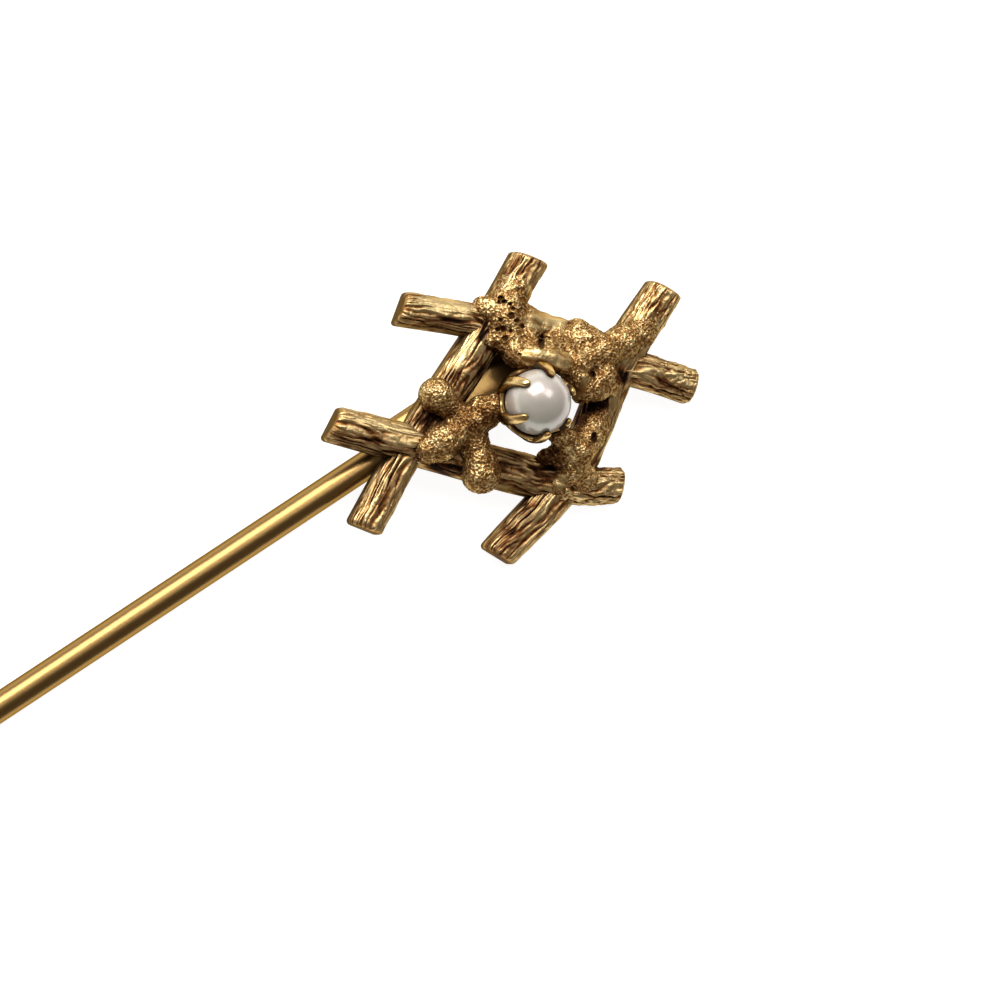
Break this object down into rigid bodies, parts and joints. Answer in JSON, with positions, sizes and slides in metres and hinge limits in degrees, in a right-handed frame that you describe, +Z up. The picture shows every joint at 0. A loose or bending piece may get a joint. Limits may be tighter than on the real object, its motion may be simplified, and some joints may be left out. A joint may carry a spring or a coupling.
{
  "type": "stick pin",
  "caption": "Stick pin lying on its back: crossed bark-textured twigs with stippled knots, a claw cup holding a round pearl, and a long tapered stem.",
  "frame": {"origin": "on the table, under the middle of the pin's box", "axes": "+Z up from the table on which the pin lies on its back, +X along the stem from its point towards the head"},
  "size_m": [0.0626, 0.0115, 0.0044],
  "materials": {
    "antique_gold": "antique gold, bright on the ridges and brown in the recesses, polished on the stem",
    "pearl": "soft pearl lustre"
  },
  "bodies": {
    "root": {"pin_metal": "antique_gold", "pearl": "pearl"}
  },
  "joints": []
}
